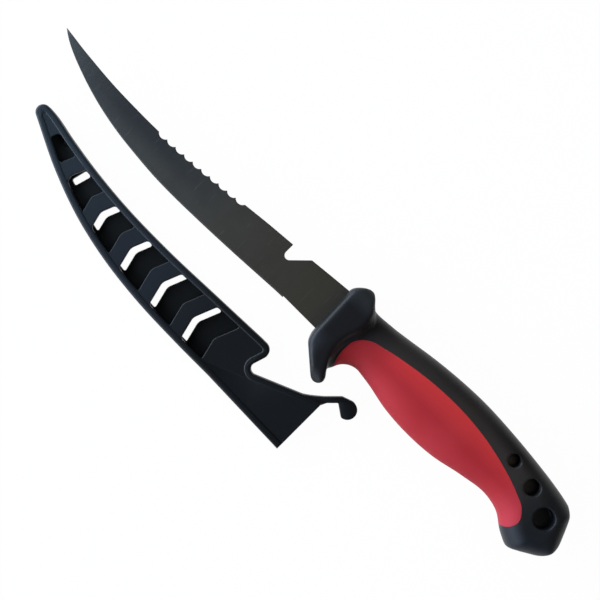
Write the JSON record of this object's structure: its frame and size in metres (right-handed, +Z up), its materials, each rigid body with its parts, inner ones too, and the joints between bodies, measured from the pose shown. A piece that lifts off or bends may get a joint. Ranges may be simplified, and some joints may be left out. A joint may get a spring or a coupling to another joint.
{
  "type": "fillet knife",
  "caption": "Curved fillet knife with a two-tone moulded grip, serrated spine and line cutter, beside its slotted plastic sheath with a latch.",
  "frame": {"origin": "under the middle of the knife and sheath as they lie side by side, on the table", "axes": "+X from the blade's tip to the butt, +Y from the belly to the spine, +Z up from the table"},
  "size_m": [0.3214, 0.0814, 0.0255],
  "materials": {
    "blade_steel": "dark coated steel, satin, ground along the edge",
    "core_plastic": "plain moulded plastic, hidden",
    "black_grip": "matte moulded",
    "red_grip": "smooth soft moulded, slight sheen",
    "sheath_plastic": "matte moulded, blue-black"
  },
  "bodies": {
    "knife": {"blade": "blade_steel", "handle_core": "core_plastic", "grip_overmould": "black_grip", "belly_grip": "red_grip"},
    "sheath": {"sheath_shell": "sheath_plastic"},
    "latch": {"latch_arm": "sheath_plastic"}
  },
  "joints": [
    {"name": "sheath_lift", "type": "slide", "parent": "knife", "child": "sheath", "axis": [0, 0, 1], "range_m": [0, 0.06]},
    {"name": "latch_flex", "type": "hinge", "parent": "sheath", "child": "latch", "pos_m": [0.03958, -0.0102, 0.004], "axis": [0, 0, 1], "range_deg": [0, 12], "stiffness_Nm_per_rad": 0.8}
  ]
}
